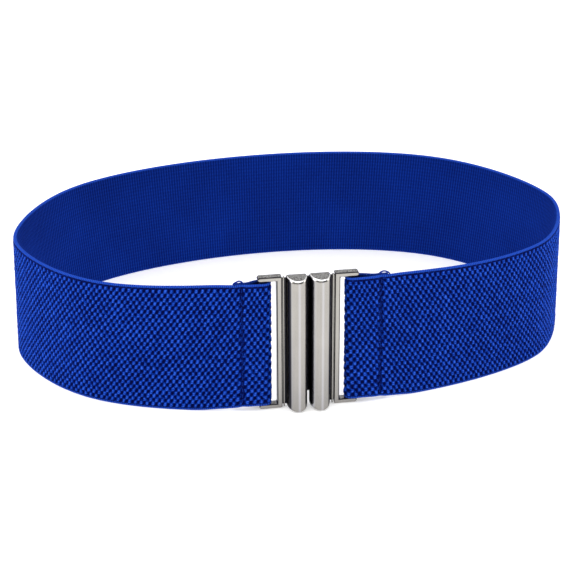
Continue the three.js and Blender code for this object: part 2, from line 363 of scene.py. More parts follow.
class Finish:
    """A material under a maker's name, with its shader ready to be fed."""

    def __init__(self, name):
        self.material = bpy.data.materials.new(name)
        self.material.use_nodes = True
        self.tree = self.material.node_tree
        self.shader = self.tree.nodes["Principled BSDF"]

    def node(self, kind, settings=None, inputs=None):
        made = self.tree.nodes.new(kind)
        for key, setting in (settings or {}).items():
            if key == "stops":
                self.set_stops(made.color_ramp, setting)
            else:
                setattr(made, key, setting)
        for key, given in (inputs or {}).items():
            self.feed(made.inputs[key], given)
        return Flow(self, made.outputs[0])

    def set_stops(self, ramp, stops):
        while len(ramp.elements) < len(stops):
            ramp.elements.new(1)
        for element, (place, colour) in zip(ramp.elements, stops):
            element.position = place
            element.color = (*colour, 1)

    def feed(self, socket, given):
        if isinstance(given, Flow):
            self.tree.links.new(given.socket, socket)
        else:
            socket.default_value = given

    def value(self, number):
        return self.node("ShaderNodeMath", {"operation": "ADD"}, {0: number, 1: 0})

    def attribute(self, name, output="Fac"):
        return self.node("ShaderNodeAttribute", {"attribute_name": name}).out(output)

    def parts(self, vector):
        split = self.node("ShaderNodeSeparateXYZ", None, {0: vector})
        return split.out("X"), split.out("Y"), split.out("Z")

    def noise(self, scale, detail=2, vector=None, roughness=0.5):
        place = vector or self.node("ShaderNodeTexCoord").out("Object")
        inputs = {"Vector": place, "Scale": scale, "Detail": detail, "Roughness": roughness}
        return self.node("ShaderNodeTexNoise", None, inputs)

    def ramp(self, value, stops):
        return self.node("ShaderNodeValToRGB", {"stops": stops}, {0: value})

    def mix(self, factor, first, second, blend="MIX"):
        settings = {"data_type": "RGBA", "blend_type": blend}
        mixed = self.node("ShaderNodeMix", settings, {0: factor, 6: first, 7: second})
        return Flow(self, mixed.socket.node.outputs[2])

    def bump(self, height, depth, under=None):
        inputs = {"Height": height, "Distance": depth, "Strength": 1}
        if under:
            inputs["Normal"] = under
        return self.node("ShaderNodeBump", None, inputs)

    def surface(self, **inputs):
        for key, given in inputs.items():
            self.feed(self.shader.inputs[key.replace("_", " ")], given)
        return self.material


print("finishes ready")

# %% [markdown]
# A screen shows colours on a curved scale, and a shader reckons with amounts of light. Colours are easier
# to judge as a screen shows them, so one small function turns them into amounts of light.

# %% Screen colours


def srgb(red, green, blue):
    """A colour as a screen shows it, in the linear numbers that a shader takes."""
    shares = [part / 255 for part in (red, green, blue)]
    return tuple(((part + 0.055) / 1.055) ** 2.4 if part > 0.04 else part / 12.92 for part in shares)


print("royal blue in linear numbers:", [round(part, 3) for part in srgb(35, 80, 200)])

# %% [markdown]
# The weave
#
# The face of the elastic is a close field of small upright floats, each row set half a step from the
# next, like the black squares of a chequerboard with rounded corners. Two cosines multiplied give that
# pattern, high on the floats and low in the pits between them. Two sines multiplied, added in a small
# share, tie each float to its neighbour on one diagonal, as the threads do on the real cloth. A texture
# alone would leave the edges of the band smooth, so the same sum lifts the mesh, and the shader uses it
# again for the colours. The columns of floats lean towards the buckle at their top, on both sides.

# %% Layout of the weave
FLOAT_PITCH = 2.76
FLOAT_ROWS = 29
FIRST_ROW = 2.4
COLUMNS_A_FLOAT = 6
STEPS_A_ROW = 3
COLUMN_LEAN = math.tan(math.radians(7))
ROW_PITCH = (ELASTIC_WIDTH - 2 * FIRST_ROW) / (FLOAT_ROWS - 1)
floats_along = round(STRIP_LENGTH / FLOAT_PITCH)
STEP_ALONG = STRIP_LENGTH / (floats_along * COLUMNS_A_FLOAT)
FACE_COLUMNS = floats_along * COLUMNS_A_FLOAT + 1
print(FLOAT_ROWS, "rows of", floats_along, "floats,", round(ROW_PITCH, 2), "mm from row to row")

# %% [markdown]
# The strip has two edges, woven tight and round, and a fine groove between each edge and the first row
# of floats. Their shape is a quarter of an ellipse, so the two faces of the strip meet in one round rim.

# %% Heights up the width and out from the middle
EDGE_TURN = np.radians([0, 24, 46, 68, 90])
EDGE_HEIGHT = 0.62
EDGE_OUT = 0.8
GROOVE_UP = 0.9
GROOVE_OUT = 0.42
PIT_OUT = 0.34
FLOAT_OUT = 0.62
SEAM_CREASE = 0.2
SEAM_HALF = 0.8
MIDDLE_GAP = 0.01


def edge_profile():
    up = EDGE_HEIGHT * (1 - np.cos(EDGE_TURN))
    out = MIDDLE_GAP + (EDGE_OUT - MIDDLE_GAP) * np.sin(EDGE_TURN)
    return np.append(up, GROOVE_UP), np.append(out, GROOVE_OUT)


edge_up, edge_out = edge_profile()
steps = np.arange(-1, (FLOAT_ROWS - 1) * STEPS_A_ROW + 2)
woven_up = FIRST_ROW + steps * ROW_PITCH / STEPS_A_ROW
FACE_UP = np.concatenate([edge_up, woven_up, ELASTIC_WIDTH - edge_up[::-1]])
print(len(FACE_UP), "rows of points by", FACE_COLUMNS, "columns")

# %% [markdown]
# On the real cloth no two floats are quite alike, and the lines of stitches pull some of them in. Each
# float takes one number from a table of random tones, by the two diagonals that cross in it, so that the
# mesh and the shader agree about it. The columns begin to lean where the cloth is free of the buckle.

# %% The field of floats
DIAGONAL_TIE = 0.07
LEAN_STARTS, LEAN_FULL = 8, 45
SIDE_CHANGE = 3
SEAM_WANDERS = (
    # reach and turns for each millimetre up
    (0.25, 1.7),
    (0.15, 4.1),
)
FLOAT_SLOPE = (-0.55, 0.45)
FLATTENED_BY_SEAM = 0.5
FLOAT_UNEVENNESS = 0.24
TONES = 512
SEWN_IN = TAIL_PAST_SEAM + math.pi * FOLD_RADIUS + 2 * (min(SEAMS.values()) - FOLD_X)
rng = np.random.default_rng(11)


def side_share(along):
    """From minus one right of the buckle, through nought at the back, to one left of it."""
    return np.clip((2 * along / STRIP_LENGTH - 1) * SIDE_CHANGE, -1, 1)


def column_lean(along):
    """How far the columns of floats lean, from one side of the buckle to the other."""
    from_end = np.minimum(along, STRIP_LENGTH - along)
    return COLUMN_LEAN * side_share(along) * smoothstep(from_end, LEAN_STARTS, LEAN_FULL)


def seam_closeness(along, up):
    """One on the two lines of stitches and nought away from them."""
    x = np.interp(along, distance, line[:, 0])
    y = np.interp(along, distance, line[:, 1])
    seam = np.where(x < 0, SEAMS["left"], SEAMS["right"])
    wander = sum(reach * np.sin(up * turns) for reach, turns in SEAM_WANDERS)
    return np.where(y < 0, np.exp(-(((abs(x) - seam + wander) / SEAM_HALF) ** 2)), 0)


up = np.broadcast_to(FACE_UP, (FACE_COLUMNS, len(FACE_UP)))
column = np.arange(FACE_COLUMNS)[:, None] * np.ones_like(up)
along = column * STEP_ALONG
along = along + column_lean(along) * (up - ELASTIC_WIDTH / 2)
across_floats = column / COLUMNS_A_FLOAT
up_floats = (up - FIRST_ROW) / (2 * ROW_PITCH)
diagonals = (np.rint(across_floats + up_floats), np.rint(across_floats - up_floats))
tones = rng.random((TONES, TONES))
tone = tones[diagonals[0].astype(int) % TONES, diagonals[1].astype(int) % TONES]
across_turn = 2 * math.pi * across_floats
up_turn = 2 * math.pi * up_floats
by_buckle = 1 - smoothstep(np.minimum(along, STRIP_LENGTH - along), SEWN_IN - 5, SEWN_IN + 1)
tie = DIAGONAL_TIE * side_share(along) * (1 - by_buckle)
wave = np.cos(across_turn) * np.cos(up_turn) + tie * np.sin(across_turn) * np.sin(up_turn)
seam = seam_closeness(along, up)
raised = smoothstep(wave, *FLOAT_SLOPE) * (1 - FLATTENED_BY_SEAM * seam)
height = 1 + FLOAT_UNEVENNESS * (tone - 0.5)
out = PIT_OUT + FLOAT_OUT * raised * height - SEAM_CREASE * seam
edges = len(edge_up)
out[:, :edges] = edge_out
out[:, -edges:] = edge_out[::-1]
face_points = strip_points(along, up, out) + ORIGIN
face_values = {
    "weave": np.stack([across_floats, up_floats, tone], axis=-1),
    "seam": seam,
    "tie": tie,
}
print("floats stand", FLOAT_OUT, "mm out of their pits")

# %% [markdown]
# The colours were set by laying renders beside the photograph: bright royal blue on the floats, a middle
# blue where their corners meet, and navy in the pits and in the groove beside each edge. The navy of the
# pits, the groove and the seams is painted shade, and the knobs and the palest blue on the float crests
# are painted highlight. A different tone for each float keeps the field from looking printed. A slow noise
# stands for the cloth's unevenness, a quick one for stray fibres, and fine lines for its yarns.

# %% Finish of the woven face
# From navy in the pits, painted shade, to pale blue on the float crests, painted highlight.
FACE_STOPS = (
    (0.1, srgb(0, 6, 58)),
    (0.28, srgb(1, 13, 78)),
    (0.42, srgb(3, 33, 115)),
    (0.56, srgb(6, 46, 142)),
    (0.72, srgb(11, 56, 165)),
    (1.0, srgb(46, 94, 212)),
)
EDGE_STOPS = ((0.1, srgb(3, 26, 108)), (0.9, srgb(38, 84, 200)))
BLUE_SHEEN = (*srgb(60, 120, 255), 1)
STRAY, STRAY_AT_SEAM = 0.4, 1.6
KNOBS_A_FLOAT = 3
KNOB_SHARE = 0.3
NOISES = {
    # lumps in a metre, detail
    "stray": (900, 2),
    "uneven": (38, 3),
    "grain": (2600, 3),
    "specks": (1150, 1),
}
GROOVE_SHADE = (0.16, 0.27)
GROOVE_PAINTED_SHADE = 0.5
SEAM_PAINTED_SHADE = 0.75
WRAPS_A_FLOAT = 3
YARNS_A_FLOAT = 9
YARN_DEPTH = 0.00008
TURN = 2 * math.pi
LAST_ROW = (ELASTIC_WIDTH - 2 * FIRST_ROW) / (2 * ROW_PITCH)
EDGE_IN_FLOATS = (FIRST_ROW - GROOVE_UP) / (2 * ROW_PITCH)


def woven_face():
    cloth = Finish("woven_face")
    across, up, tone = cloth.parts(cloth.attribute("weave", "Vector"))
    seam = cloth.attribute("seam")
    tie = cloth.attribute("tie")
    jumble = (seam * STRAY_AT_SEAM + STRAY) * (cloth.noise(*NOISES["stray"]) - 0.5)
    across_turn, up_turn = (across + jumble) * TURN, (up + jumble) * TURN
    wave = across_turn.cosine() * up_turn.cosine() + tie * across_turn.sine() * up_turn.sine()
    # The knobs are painted highlight and painted shade on the two lumps of each float.
    knobs = wave.larger(0) * across_turn.cosine() * (up_turn * KNOBS_A_FLOAT).cosine() * -KNOB_SHARE
    uneven = cloth.noise(*NOISES["uneven"])
    grain = cloth.noise(*NOISES["grain"])
    specks = cloth.noise(*NOISES["specks"])
    mottle = (uneven - 0.5) * 0.12 + (grain - 0.5) * 0.2 + (specks - 0.5) * 0.6
    level = wave * 0.6 + 0.42 + knobs + (tone - 0.5) * 0.12 + mottle
    from_middle = (up - LAST_ROW / 2).math("ABSOLUTE") - LAST_ROW / 2
    groove = from_middle.between(*GROOVE_SHADE)
    # The seams and the grooves beside the edges are painted darker, as painted shade.
    woven = cloth.ramp(level * (1 - seam * SEAM_PAINTED_SHADE) * (1 - groove * GROOVE_PAINTED_SHADE), FACE_STOPS)
    edge = from_middle.between(EDGE_IN_FLOATS - 0.03, EDGE_IN_FLOATS + 0.01)
    wraps = (across * (TURN * WRAPS_A_FLOAT)).cosine() * 0.5 + 0.5
    colour = cloth.mix(edge, woven, cloth.ramp(wraps * 0.5 + grain * 0.5, EDGE_STOPS))
    yarns = (across * (TURN * YARNS_A_FLOAT)).cosine() * 0.5
    height = cloth.bump(yarns * wave.between(0, 0.6) + grain + wraps * edge * 0.4, YARN_DEPTH)
    return cloth.surface(
        Base_Color=colour, Roughness=wave.between(-1, 1, 0.95, 0.72), Normal=height,
        Sheen_Weight=0.11, Sheen_Roughness=0.45, Sheen_Tint=BLUE_SHEEN,
        Specular_IOR_Level=0.04,
    )


FACE_FINISH = woven_face()
print("woven face:", len(FACE_FINISH.node_tree.nodes), "nodes")

# %% [markdown]
# One mesh for the whole face would be very large, so it is cut in two at the back of the loop. The cut
# follows one column of points, which both runs hold, so no gap is left between them. Each run is closed
# behind, so that its mesh is a solid and not only a skin.

# %% Face of the elastic, in a left and a right run
MIDDLE_COLUMN = floats_along // 2 * COLUMNS_A_FLOAT
RUNS = {
    "elastic_face_right": slice(0, MIDDLE_COLUMN + 1),
    "elastic_face_left": slice(MIDDLE_COLUMN, FACE_COLUMNS),
}


def face_run(name, columns):
    points = face_points[columns]
    faces = closed_grid(*points.shape[:2])
    values = {key: given[columns].reshape(-1, *given.shape[2:]) for key, given in face_values.items()}
    made = make_object(name, points.reshape(-1, 3), faces, values)
    made.data.materials.append(FACE_FINISH)
    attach(made, "root")
    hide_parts("elastic_band")
    print(name, triangles(made), "triangles")


for run_name, run_columns in RUNS.items():
    face_run(run_name, run_columns)

# %% [markdown]
# The back of the weave
#
# Inside the loop the same strip shows its back, where the rubber threads run close under the yarns as
# fine upright ribs. A rib needs only a few points across it and the wall is straight from edge to edge,
# so this mesh has many columns and few rows. The fine cross lines are left to the shader's bump. Between
# the two sewn layers the cloth is painted darker, as painted shade, because the narrow gap there gets
# hardly any light.

# %% Back of the elastic
RIB_PITCH = FLOAT_PITCH / 2
COLUMNS_A_RIB = 4
BACK_OUT = 0.74
BACK_RIB = 0.12
BACK_ROWS = 12
FOLD_SHADE = 3


def back_mesh():
    ribs = round(STRIP_LENGTH / RIB_PITCH)
    columns = ribs * COLUMNS_A_RIB + 1
    middle = np.linspace(GROOVE_UP, ELASTIC_WIDTH - GROOVE_UP, BACK_ROWS)
    rows = np.concatenate([edge_up[:-1], middle, ELASTIC_WIDTH - edge_up[-2::-1]])
    up = np.broadcast_to(rows, (columns, len(rows)))
    column = np.arange(columns)[:, None] * np.ones_like(up)
    along = column * STRIP_LENGTH / (columns - 1)
    along = along + column_lean(along) * (up - ELASTIC_WIDTH / 2)
    out = BACK_OUT + BACK_RIB * np.cos(TURN * column / COLUMNS_A_RIB)
    rounds = len(edge_up) - 1
    share = edge_out[:rounds] / EDGE_OUT
    out[:, :rounds] *= share
    out[:, -rounds:] *= share[::-1]
    points = strip_points(along, up, -np.maximum(out, MIDDLE_GAP)) + ORIGIN
    faces = [face[::-1] for face in closed_grid(columns, len(rows))]
    from_end = np.minimum(along, STRIP_LENGTH - along)
    # One between the two sewn layers, where the colour is painted darker as shade.
    shade_in_fold = 1 - smoothstep(from_end, SEWN_IN, SEWN_IN + FOLD_SHADE)
    pattern = np.stack([column / COLUMNS_A_RIB, up / ROW_PITCH, shade_in_fold], axis=-1)
    return points.reshape(-1, 3), faces, {"weave": pattern.reshape(-1, 3)}


elastic_back = make_object("elastic_back", *back_mesh())
print("elastic_back", triangles(elastic_back), "triangles")

# %% [markdown]
# The back has the same blues, a little duller. Its ribs are in the mesh, so the shader only adds the tone
# between them, and the edges take the colours that they have on the face.

# %% Finish of the back
BACK_STOPS = ((0, srgb(1, 10, 56)), (0.5, srgb(3, 33, 116)), (1, srgb(12, 58, 166)))
EDGE_FROM_RIM = (0.42, 0.36)


def ribbed_back():
    cloth = Finish("ribbed_back")
    across, up, shade_in_fold = cloth.parts(cloth.attribute("weave", "Vector"))
    ribs = (across * TURN).cosine()
    rows = (up * TURN).cosine()
    uneven = cloth.noise(30, 3)
    grain = cloth.noise(2400, 3)
    level = ribs * 0.2 + rows * 0.05 + 0.5 + (uneven - 0.5) * 0.3 + (grain - 0.5) * 0.5
    height = cloth.bump(rows * 0.5 + grain * 0.8, 0.00012)
    half = ELASTIC_WIDTH / ROW_PITCH / 2
    edge = (up - half).math("ABSOLUTE").between(*(half - rim for rim in EDGE_FROM_RIM))
    # Painted shade between the sewn layers darkens the weave and its edges.
    woven = cloth.ramp(level * (1 - shade_in_fold * 0.9), BACK_STOPS)
    colour = cloth.mix(edge * (1 - shade_in_fold * 0.7), woven, cloth.ramp(grain, EDGE_STOPS))
    return cloth.surface(
        Base_Color=colour, Roughness=ribs.between(-1, 1, 0.95, 0.8), Normal=height,
        Sheen_Weight=0.04, Sheen_Roughness=0.5, Sheen_Tint=BLUE_SHEEN,
        Specular_IOR_Level=0.05,
    )


elastic_back.data.materials.append(ribbed_back())
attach(elastic_back, "root")
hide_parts("elastic_band")
print("back of the elastic:", len(elastic_back.data.materials[0].node_tree.nodes), "nodes")

# %% [markdown]
# Stitches
#
# One line of lock stitches holds each sewn end. A stitch is a short thread that sinks into the cloth at
# both ends, so each is a thin arched tube, and all the stitches of a seam are joined in one mesh. At the
# top of each seam the thread ends in a small loose loop.

# %% Tubes of thread
THREAD = 0.42
THREAD_SIDES = 7


def tube(route, radii, sides=THREAD_SIDES):
    """Points and faces of a closed tube along a route, with a radius at each of its points."""
    route = np.asarray(route, dtype=float)
    tangent = np.gradient(route, axis=0)
    tangent /= np.linalg.norm(tangent, axis=1)[:, None]
    side = np.cross(tangent, (0.31, 0.23, 0.92))
    side /= np.linalg.norm(side, axis=1)[:, None]
    other = np.cross(tangent, side)
    angle = TURN * np.arange(sides) / sides
    ring = np.cos(angle)[None, :, None] * side[:, None] + np.sin(angle)[None, :, None] * other[:, None]
    points = route[:, None] + ring * np.asarray(radii, dtype=float)[:, None, None]
    index = np.arange(len(route) * sides).reshape(len(route), sides)
    turned = np.roll(index, -1, axis=1)
    quads = np.stack([index[:-1], turned[:-1], turned[1:], index[1:]], axis=-1)
    faces = quads.reshape(-1, 4).tolist() + [index[0, ::-1].tolist(), index[-1].tolist()]
    return points.reshape(-1, 3), faces


def joined(tubes):
    points, faces, start = [], [], 0
    for some_points, some_faces in tubes:
        points.append(some_points)
        faces += [[start + corner for corner in face] for face in some_faces]
        start += len(some_points)
    return np.concatenate(points), faces


print("a thread has", THREAD_SIDES, "sides")

# %% [markdown]
# Each stitch starts a little above the one before and arches out in its middle, where its thread is also
# at its thickest. A small sideways shift, different for each, keeps the line from looking ruled.

# %% Stitches and loose loops
STITCHES = 20
STITCH_POINTS = 7
STITCH_MARGIN = 1.5
STITCH_SHARE = 0.76
STITCH_START = 0.12
STITCH_SHIFT = 0.22
STITCH_SLANT = 0.12
STITCH_OUT = 0.24
STITCH_ARCH = 0.26
LOOP_POINTS = 28
LOOP_REACH = 1.9
LOOP_RISE = 1.9


def seam_along(side):
    """How far along the strip the seam lies on its front layer."""
    x = line[:, 0] * side
    front = (line[:, 1] < 0) & (x > 0) & (ACROSS[:, 1] < -0.5)
    seam = SEAMS["left"] if side < 0 else SEAMS["right"]
    return distance[front][np.argmin(abs(x[front] - seam))]


def stitches(side):
    pitch = (ELASTIC_WIDTH - 2 * STITCH_MARGIN) / STITCHES
    middle = seam_along(side)
    arch = np.sin(np.linspace(0, math.pi, STITCH_POINTS))
    slant = np.linspace(-STITCH_SLANT, STITCH_SLANT, STITCH_POINTS)
    tubes = []
    for number in range(STITCHES):
        low = STITCH_MARGIN + (number + STITCH_START) * pitch
        up = low + np.linspace(0, STITCH_SHARE * pitch, STITCH_POINTS)
        along = middle + STITCH_SHIFT * (rng.random() - 0.5) + slant
        route = strip_points(along, up, STITCH_OUT + STITCH_ARCH * arch) + ORIGIN
        tubes.append(tube(route, THREAD / 2 * (0.7 + 0.3 * arch)))
    return tubes


def loose_loop(side):
    """A stray bight of thread that stands on the rim beside the seam."""
    turn = np.linspace(0.12 * TURN, 1.02 * TURN, LOOP_POINTS)
    start = seam_along(side)
    along = start + side * LOOP_REACH * (0.9 + np.cos(turn) + 0.2 * np.sin(2 * turn))
    up = ELASTIC_WIDTH + LOOP_RISE * (0.45 - 0.62 * np.sin(turn))
    out = 0.2 + 0.9 * np.cos(turn + 0.7)
    route = strip_points(along, up, out) + ORIGIN
    return tube(route, np.full(len(turn), THREAD * 0.85))


print(STITCHES, "stitches in each seam")

# %% [markdown]
# The thread is dyed to match the cloth and lies in its shade, so its blue is painted darker, as painted
# shade. A fine noise stands for its twist, and the two seams share one finish.

# %% Finish of the thread
THREAD_STOPS = ((0.2, srgb(2, 16, 84)), (0.8, srgb(14, 52, 156)))


def thread_finish():
    thread = Finish("sewing_thread")
    grain = thread.noise(1800, 2)
    return thread.surface(
        Base_Color=thread.ramp(grain, THREAD_STOPS), Roughness=0.6, Normal=thread.bump(grain, 0.00008),
        Specular_IOR_Level=0.05,
    )


THREAD_FINISH = thread_finish()
for side_name, side in (("left", -1), ("right", 1)):
    seam_thread = make_object(f"seam_thread_{side_name}", *joined([*stitches(side), loose_loop(side)]))
    seam_thread.data.materials.append(THREAD_FINISH)
    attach(seam_thread, "root")
    print(seam_thread.name, triangles(seam_thread), "triangles")

# %% [markdown]
# The buckle halves
#
# Each half is one casting: a frame with a round rod at its outer side, a thin plate with a raised rib,
# and an upright half-round bar. The shapes are made one by one as closed shells with rounded edges and
# are then joined by booleans, so that each half is one solid, as the metal is.

# %% Shells for the castings
FRAME_FRONT_Y = FRONT_Y + FOLD_RADIUS - FRAME_DEPTH / 2
BAR_STEPS = 56
ROUND_STEPS = 8
ROD_SIDES = 40


def shell(name, points, faces):
    """A closed shell in millimetres, with its faces turned out."""
    mesh = bpy.data.meshes.new(name)
    mesh.from_pydata(np.asarray(points).tolist(), [], faces)
    work = bmesh.new()
    work.from_mesh(mesh)
    bmesh.ops.recalc_face_normals(work, faces=work.faces)
    work.to_mesh(mesh)
    work.free()
    made = bpy.data.objects.new(name, mesh)
    bpy.context.scene.collection.objects.link(made)
    return made


def baked(made):
    """The object with its modifiers made real."""
    bpy.context.view_layer.update()
    graph = bpy.context.evaluated_depsgraph_get()
    shown = made.evaluated_get(graph)
    mesh = bpy.data.meshes.new_from_object(shown, preserve_all_data_layers=True, depsgraph=graph)
    made.modifiers.clear()
    made.data = mesh
    return made


def rounded(made, width, segments=3):
    bevel = made.modifiers.new("round", "BEVEL")
    bevel.width = width
    bevel.segments = segments
    bevel.limit_method = "ANGLE"
    bevel.angle_limit = math.radians(50)
    return baked(made)


def prism(name, outline, low, high, axis):
    """A closed outline drawn out along one axis."""
    outline = np.asarray(outline)
    count = len(outline)
    ends = [np.insert(outline, axis, level, axis=1) for level in (low, high)]
    index = np.arange(count)
    turned = np.roll(index, -1)
    sides = np.stack([index, turned, turned + count, index + count], axis=1).tolist()
    faces = [index.tolist(), (index[::-1] + count).tolist(), *sides]
    return shell(name, np.concatenate(ends), faces)


def block(name, x0, x1, depth0, depth1, z0, z1):
    outline = [(x0, depth0), (x1, depth0), (x1, depth1), (x0, depth1)]
    return prism(name, outline, z0, z1, 2)


def arc(x, y, radius_x, radius_y, start, end, count):
    turn = np.linspace(start, end, count)
    return np.stack([x + radius_x * np.cos(turn), y + radius_y * np.sin(turn)], axis=1)


print("shells ready")

# %% [markdown]
# The frame is a bracket: two rails with round noses and the post between them. The elastic wraps the rod
# that joins the noses. Between frame and bar lies a thin plate, set back, with one fine upright rib.

# %% Frame, rod, plate and rib


def rail_end(bottom):
    nose = RAIL_HEIGHT / 2
    return arc(FRAME_OUTER_X - nose, bottom + nose, nose, nose, -math.pi / 2, math.pi / 2, 2 * ROUND_STEPS)


def frame_bracket():
    post = FRAME_INNER_X + INNER_POST_WIDTH
    window_top = BUCKLE_HEIGHT - RAIL_HEIGHT
    outline = np.concatenate([
        [(FRAME_INNER_X, 0)], rail_end(0), [(post, RAIL_HEIGHT), (post, window_top)],
        rail_end(window_top), [(FRAME_INNER_X, BUCKLE_HEIGHT)],
    ])
    return rounded(prism("frame", outline, 0, FRAME_DEPTH, 1), FRAME_BEVEL)


def rod():
    radius = ROD_DIAMETER / 2
    outline = arc(ROD_X, FRAME_DEPTH / 2, radius, radius, 0, TURN, ROD_SIDES + 1)[:-1]
    return prism("rod", outline, RAIL_HEIGHT - LINK, BUCKLE_HEIGHT - RAIL_HEIGHT + LINK, 2)


def plate_and_rib():
    bar = BAR_SPACE / 2 + BAR_WIDTH
    back = FRAME_DEPTH - WEB_BACK
    front = back - WEB_THICKNESS
    inset = BAR_END_INSET + BAR_CHAMFER + LINK
    plate = block("plate", bar - 2 * LINK, FRAME_INNER_X + LINK, front, back, inset, BUCKLE_HEIGHT - inset)
    rib_x = FRAME_INNER_X - RIB_FROM_FRAME
    rib = block("rib", rib_x - RIB_WIDTH, rib_x, front - RIB_PROUD, front + LINK, LINK, BUCKLE_HEIGHT - LINK)
    return [plate, rounded(rib, RIB_WIDTH / 3)]


print("frame, rod, plate and rib are ready to be cast")

# %% [markdown]
# The bar is its outline stacked in rings. The rings near each end step in by the width of the chamfer,
# with a small turn at both its edges, because polished metal shows every sharp edge as a hard line.

# %% Half-round bar
CHAMFER_RINGS = (
    # height from the end and inset, as shares of the chamfer
    (0.0, 0.98), (0.02, 0.88), (0.08, 0.78), (0.42, 0.44), (0.5, 0.37), (1.1, 0.17), (1.5, 0.1),
    (2.0, 0.05), (2.8, 0.0),
)


def bar_outline():
    half = BAR_WIDTH / 2
    back = BAR_DEPTH - BAR_PROUD
    base = back - BAR_BASE_DEPTH
    corner_x, corner_y = half - BAR_BASE_ROUND, back - BAR_BASE_ROUND
    return np.concatenate([
        arc(0, base, half, BAR_DEPTH - BAR_BASE_DEPTH, -math.pi, 0, BAR_STEPS),
        arc(corner_x, corner_y, BAR_BASE_ROUND, BAR_BASE_ROUND, 0, math.pi / 2, ROUND_STEPS),
        arc(-corner_x, corner_y, BAR_BASE_ROUND, BAR_BASE_ROUND, math.pi / 2, math.pi, ROUND_STEPS),
    ])


def half_round_bar():
    outline = bar_outline()
    outline = outline[np.linalg.norm(outline - np.roll(outline, 1, axis=0), axis=1) > 1e-4]
    along = np.roll(outline, -1, axis=0) - np.roll(outline, 1, axis=0)
    along /= np.linalg.norm(along, axis=1)[:, None]
    inward = np.stack([-along[:, 1], along[:, 0]], axis=1)
    rings = []
    low, high = BAR_END_INSET, BUCKLE_HEIGHT - BAR_END_INSET
    for height, inset in CHAMFER_RINGS:
        rings.append((low + height * BAR_CHAMFER, inset * BAR_CHAMFER))
    for height, inset in reversed(CHAMFER_RINGS):
        rings.append((high - height * BAR_CHAMFER, inset * BAR_CHAMFER))
    layers = [np.insert(outline + inward * inset, 2, level, axis=1) for level, inset in rings]
    count = len(outline)
    index = np.arange(count * len(rings)).reshape(len(rings), count)
    turned = np.roll(index, -1, axis=1)
    quads = np.stack([index[:-1], turned[:-1], turned[1:], index[1:]], axis=-1).reshape(-1, 4).tolist()
    points = np.concatenate(layers) + (BAR_CENTRE_X, 0, 0)
    return shell("bar", points, [index[0, ::-1].tolist(), index[-1].tolist(), *quads])


print("bar outline:", len(bar_outline()), "points")

# %% [markdown]
# Behind the bars a plain hook holds the halves together. Its plate belongs to the left half and its lip
# stands in a groove of the right half's bar, with a little air all round.

# %% Hook and its groove


def hook_parts(margin):
    back = BAR_DEPTH - BAR_PROUD
    low, high = HOOK_FROM_BOTTOM - margin, BUCKLE_HEIGHT - HOOK_FROM_TOP + margin
    lip_low = BAR_CENTRE_X - HOOK_LIP_WIDTH / 2 - margin
    lip_high = BAR_CENTRE_X + HOOK_LIP_WIDTH / 2 + margin
    plate = back + CLEARANCE
    lip = block("lip", lip_low, lip_high, plate - HOOK_LIP_DEPTH - margin, plate + LINK, low, high)
    if margin:
        return [lip]
    arm = block("arm", -BAR_CENTRE_X, lip_high, plate, plate + HOOK_THICKNESS, low, high)
    root = block(
        "root", -BAR_CENTRE_X - HOOK_ROOT_WIDTH / 2, -BAR_CENTRE_X + HOOK_ROOT_WIDTH / 2,
        back - LINK, plate + HOOK_THICKNESS, low, high,
    )
    return [lip, rounded(arm, 0.2, 2), root]


print("hook ready")

# %% [markdown]
# Joining uses exact booleans. Afterwards edges sharper than a limit stay crisp, and the normals are
# weighted by area, so that large flat faces reflect as flat ones and the roundings carry the turn.

# %% Join the shells into castings
SHARP_EDGE = math.radians(38)


def join_shells(shells, cutters=()):
    base = shells[0]
    for operation, others in (("UNION", shells[1:]), ("DIFFERENCE", cutters)):
        for other in others:
            step = base.modifiers.new("cast", "BOOLEAN")
            step.operation = operation
            step.solver = "EXACT"
            step.object = other
    baked(base)
    for other in (*shells[1:], *cutters):
        bpy.data.objects.remove(other)
    return base


def even_shading(made):
    made.data.polygons.foreach_set("use_smooth", [True] * len(made.data.polygons))
    made.data.set_sharp_from_angle(angle=SHARP_EDGE)
    weighted = made.modifiers.new("even", "WEIGHTED_NORMAL")
    weighted.keep_sharp = True
    return baked(made)


print("joining ready")

# %% [markdown]
# Polished metal is dark where it faces a dark gap and white where it faces a lamp, with hard borders
# between the two. Soft studio light alone would blur them, so these reflections and shades are painted into
# the metal's colour. Every corner of a casting gets three shares from nought to one, by its place and the
# way it faces: painted shade and dark reflection for what looks into a gap or the dark room, a painted
# highlight on the bars' chamfers, and a painted highlight for two soft upright lines along each bar. The
# finish reads them.

# %% Marks for painted shade, reflections and highlights
BAR_SIDE = BAR_SPACE / 2 + BAR_WIDTH
POST_SIDE = FRAME_INNER_X + INNER_POST_WIDTH
CHANNEL_FLOOR_Y = FRAME_DEPTH - WEB_BACK - WEB_THICKNESS - CLEARANCE
OUTER_FLANK = (0.8, 0.88)
INNER_FLANK = (0.86, 0.99)
POST_FLANK = (0.3, 0.55)
RAIL_TURN = ((0.05, 0.3), (0.88, 0.99))
BAR_EDGE = ((0.62, 0.7), (0.74, 0.8))
# Painted highlights: soft upright lines of light along each bar.
GLEAMS = (
    # place across the bar, width, strength
    (0.1, 0.06, 0.9),
    (0.52, 0.05, 0.4),
)


def band(value, rise, fall):
    """One between two slopes and nought on both sides of them."""
    return smoothstep(value, *rise) * (1 - smoothstep(value, *fall))


def facing_front(normals, share=0.05):
    return normals[:, 1] < -share


